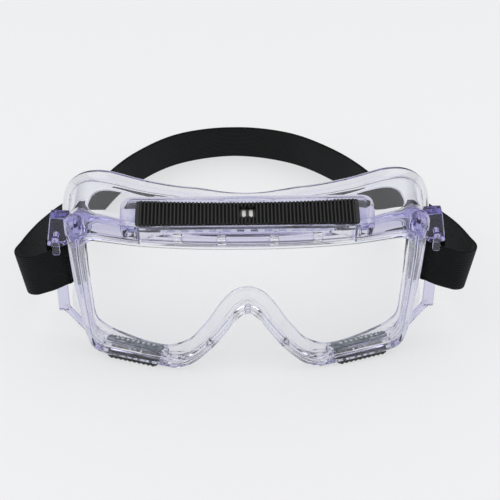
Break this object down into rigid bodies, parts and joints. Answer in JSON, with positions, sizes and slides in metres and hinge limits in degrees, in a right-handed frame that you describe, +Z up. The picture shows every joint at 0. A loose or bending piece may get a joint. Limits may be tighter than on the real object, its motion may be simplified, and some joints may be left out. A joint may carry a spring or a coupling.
{
  "type": "safety goggles",
  "caption": "Clear wrap-round splash goggles with a curved lens, sliding vent shutters above and below, side strap brackets and a black elastic head strap.",
  "frame": {"origin": "middle of the footprint, on the surface that the goggles and the rear of the strap stand on", "axes": "+X to the wearer's left hand side seen from the front as right, -Y out of the lens, +Z up"},
  "size_m": [0.2126, 0.1998, 0.0897],
  "materials": {
    "clear_frame": "clear flexible vinyl with a faint violet tint in its thick edges, glossy",
    "clear_lens": "clear hard polycarbonate, polished",
    "black_plastic": "black moulded plastic, satin",
    "grey_plastic": "slate grey moulded plastic, satin",
    "white_plastic": "white moulded plastic",
    "strap_elastic": "black woven elastic webbing"
  },
  "bodies": {
    "goggles": {"frame_body": "clear_frame", "lens": "clear_lens", "top_vent_seat": "clear_frame", "top_vent_indicator": "white_plastic", "top_vent_baffle": "clear_frame", "left_vent_seat": "clear_frame", "left_vent_baffle": "grey_plastic", "right_vent_seat": "clear_frame", "right_vent_baffle": "grey_plastic", "left_strap_bracket": "clear_frame", "right_strap_bracket": "clear_frame", "left_strap_keeper": "clear_frame", "right_strap_keeper": "clear_frame", "strap_band": "strap_elastic"},
    "top_shutter": {"top_vent_shutter": "black_plastic"},
    "left_shutter": {"left_vent_shutter": "black_plastic"},
    "right_shutter": {"right_vent_shutter": "black_plastic"}
  },
  "joints": [
    {"name": "top_vent_slide", "type": "slide", "parent": "goggles", "child": "top_shutter", "axis": [1, 0, 0], "range_m": [-0.003, 0.003]},
    {"name": "left_vent_slide", "type": "slide", "parent": "goggles", "child": "left_shutter", "axis": [0.9483, -0.3173, 0], "range_m": [-0.0015, 0.0015]},
    {"name": "right_vent_slide", "type": "slide", "parent": "goggles", "child": "right_shutter", "axis": [0.9483, 0.3173, 0], "range_m": [-0.0015, 0.0015]}
  ]
}
